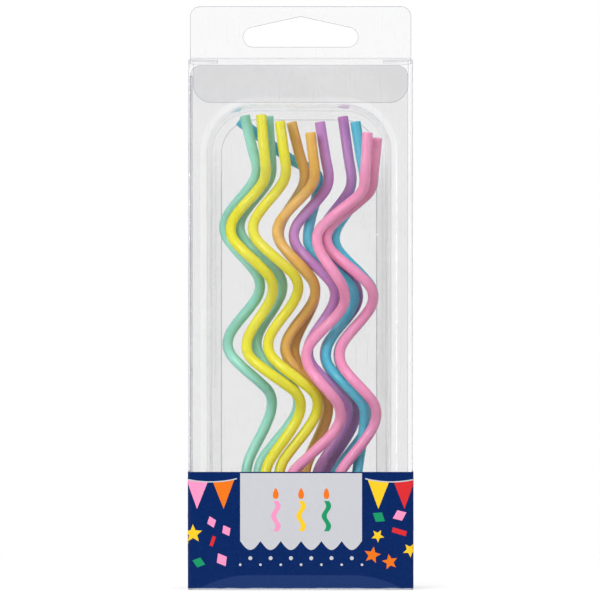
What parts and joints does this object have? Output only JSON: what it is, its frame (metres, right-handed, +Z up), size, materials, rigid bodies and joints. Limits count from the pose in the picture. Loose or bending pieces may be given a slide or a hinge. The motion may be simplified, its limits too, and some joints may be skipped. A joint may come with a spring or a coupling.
{
  "type": "boxed spiral birthday candle set",
  "caption": "Coiled wax birthday candles in pastel colours, nested in a clear tray inside a clear hang-tab box with a hinged lid, tuck flap and printed foot band.",
  "frame": {"origin": "middle of the box's base, on the surface it stands on", "axes": "+Z up along the candles to the hang tab, -Y towards the front of the box, +X to the right seen from the front"},
  "size_m": [0.0552, 0.0239, 0.1439],
  "materials": {
    "clear_film": "clear gloss sheet",
    "clear_tray": "clear thermoformed sheet",
    "band_print": "gloss print on film",
    "cotton_wick": "waxed braid",
    "wax_mint": "smooth wax, satin",
    "wax_yellow": "smooth wax, satin",
    "wax_apricot": "smooth wax, satin",
    "wax_lilac": "smooth wax, satin",
    "wax_teal": "smooth wax, satin",
    "wax_pink": "smooth wax, satin"
  },
  "bodies": {
    "box": {"box_sleeve": "clear_film", "hang_tab_facing": "clear_film", "glue_seam": "clear_film", "base_panel": "clear_film", "base_tuck_flap": "clear_film", "base_dust_flap_left": "clear_film", "base_dust_flap_right": "clear_film", "printed_band": "band_print"},
    "lid": {"lid_panel": "clear_film"},
    "tuck": {"tuck_flap": "clear_film"},
    "dust_left": {"dust_flap_left": "clear_film"},
    "dust_right": {"dust_flap_right": "clear_film"},
    "tray": {"tray": "clear_tray", "candle_mint_1": "wax_mint", "candle_mint_2": "wax_mint", "candle_yellow_1": "wax_yellow", "candle_yellow_2": "wax_yellow", "candle_apricot_1": "wax_apricot", "candle_apricot_2": "wax_apricot", "candle_lilac_1": "wax_lilac", "candle_lilac_2": "wax_lilac", "candle_teal_1": "wax_teal", "candle_teal_2": "wax_teal", "candle_pink_1": "wax_pink", "candle_pink_2": "wax_pink", "wick_mint_1": "cotton_wick", "wick_mint_2": "cotton_wick", "wick_yellow_1": "cotton_wick", "wick_yellow_2": "cotton_wick", "wick_apricot_1": "cotton_wick", "wick_apricot_2": "cotton_wick", "wick_lilac_1": "cotton_wick", "wick_lilac_2": "cotton_wick", "wick_teal_1": "cotton_wick", "wick_teal_2": "cotton_wick", "wick_pink_1": "cotton_wick", "wick_pink_2": "cotton_wick"}
  },
  "joints": [
    {"name": "tray_slide", "type": "slide", "parent": "box", "child": "tray", "axis": [0, 0, 1], "range_m": [0, 0.0119]},
    {"name": "lid_hinge", "type": "hinge", "parent": "box", "child": "lid", "pos_m": [0, 0.0109, 0.13], "axis": [-1, 0, 0], "range_deg": [0, 85]},
    {"name": "tuck_crease", "type": "hinge", "parent": "lid", "child": "tuck", "pos_m": [0, -0.01005, 0.13], "axis": [-1, 0, 0], "range_deg": [-42.5, 0]},
    {"name": "dust_left_hinge", "type": "hinge", "parent": "box", "child": "dust_left", "pos_m": [-0.02697, 0, 0.1296], "axis": [0, -1, 0], "range_deg": [0, 85]},
    {"name": "dust_right_hinge", "type": "hinge", "parent": "box", "child": "dust_right", "pos_m": [0.02697, 0, 0.1296], "axis": [0, 1, 0], "range_deg": [0, 85]}
  ],
  "couplings": [
    {"joint": "lid_hinge", "follows": "tray_slide", "rad_per_m": 124.6},
    {"joint": "tuck_crease", "follows": "tray_slide", "rad_per_m": -62.3},
    {"joint": "dust_left_hinge", "follows": "tray_slide", "rad_per_m": 124.6},
    {"joint": "dust_right_hinge", "follows": "tray_slide", "rad_per_m": 124.6}
  ]
}
